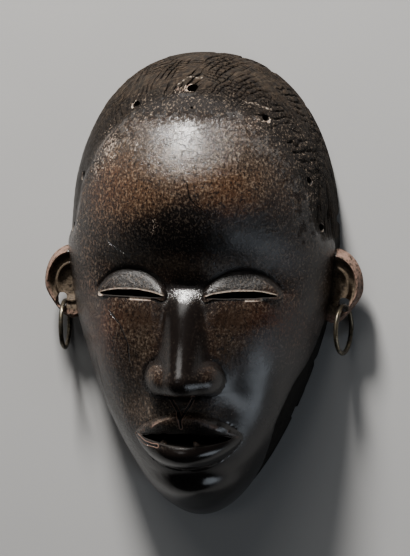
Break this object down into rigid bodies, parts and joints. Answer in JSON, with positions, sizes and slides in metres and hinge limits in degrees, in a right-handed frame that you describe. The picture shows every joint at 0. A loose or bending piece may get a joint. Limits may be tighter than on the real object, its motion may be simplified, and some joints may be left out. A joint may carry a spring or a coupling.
{
  "type": "carved wooden face mask",
  "caption": "Carved wooden face mask, hollow behind, with slit eyes, an open mouth and a metal ring through each ear lobe, lying face up on its back rim.",
  "frame": {"origin": "under the middle of the mask, in the plane of its back rim, which rests on the floor", "axes": "+Z out of the face, up as it lies; +Y to the crown; +X to the viewer's right"},
  "size_m": [0.1698, 0.244, 0.0889],
  "materials": {
    "wood": "dark polished patina, worn brown in places, matte and tool-marked round the crown",
    "metal": "tarnished and dull"
  },
  "bodies": {
    "root": {"mask": "wood", "earring_left": "metal", "earring_right": "metal"}
  },
  "joints": []
}
